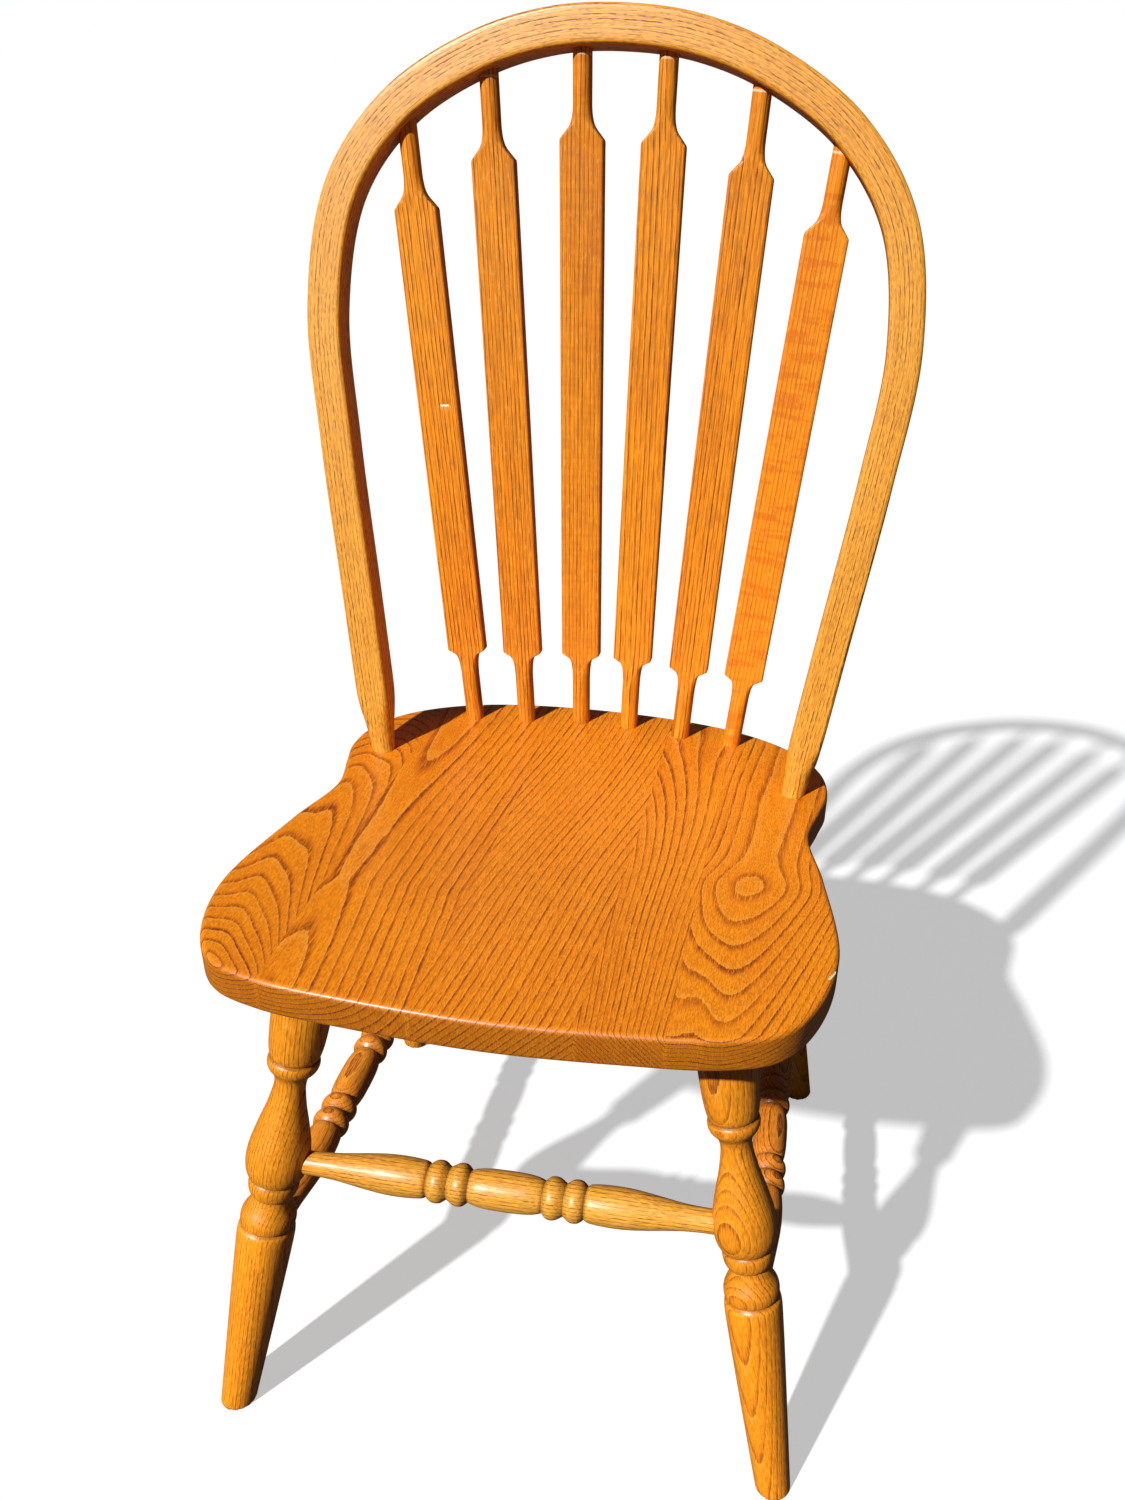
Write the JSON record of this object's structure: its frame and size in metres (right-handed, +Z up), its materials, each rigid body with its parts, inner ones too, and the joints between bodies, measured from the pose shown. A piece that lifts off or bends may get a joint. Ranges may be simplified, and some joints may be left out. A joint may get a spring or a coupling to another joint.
{
  "type": "bow-back side chair",
  "caption": "Wooden bow-back side chair with arrow-shaped spindles, a dished solid seat and turned, splayed legs joined by turned stretchers; lacquered golden oak.",
  "frame": {"origin": "on the floor, under the middle of the chair's bounding box", "axes": "+Z up, the chair faces -Y, +X to the right as seen from the front; the chair mirrors about X = 0"},
  "size_m": [0.4658, 0.4596, 0.9885],
  "materials": {
    "seat_oak": "clear satin lacquer",
    "bow_oak": "clear satin lacquer",
    "spindle_oak": "clear satin lacquer",
    "leg_oak": "clear satin lacquer",
    "stretcher_oak": "clear satin lacquer"
  },
  "bodies": {
    "root": {"seat_board_1": "seat_oak", "seat_board_2": "seat_oak", "seat_board_3": "seat_oak", "seat_board_4": "seat_oak", "seat_board_5": "seat_oak", "bow": "bow_oak", "spindle_1": "spindle_oak", "spindle_2": "spindle_oak", "spindle_3": "spindle_oak", "spindle_4": "spindle_oak", "spindle_5": "spindle_oak", "spindle_6": "spindle_oak", "front_leg_left": "leg_oak", "front_leg_right": "leg_oak", "rear_leg_left": "leg_oak", "rear_leg_right": "leg_oak", "front_stretcher": "stretcher_oak", "rear_stretcher": "stretcher_oak", "left_stretcher": "stretcher_oak", "right_stretcher": "stretcher_oak"}
  },
  "joints": []
}
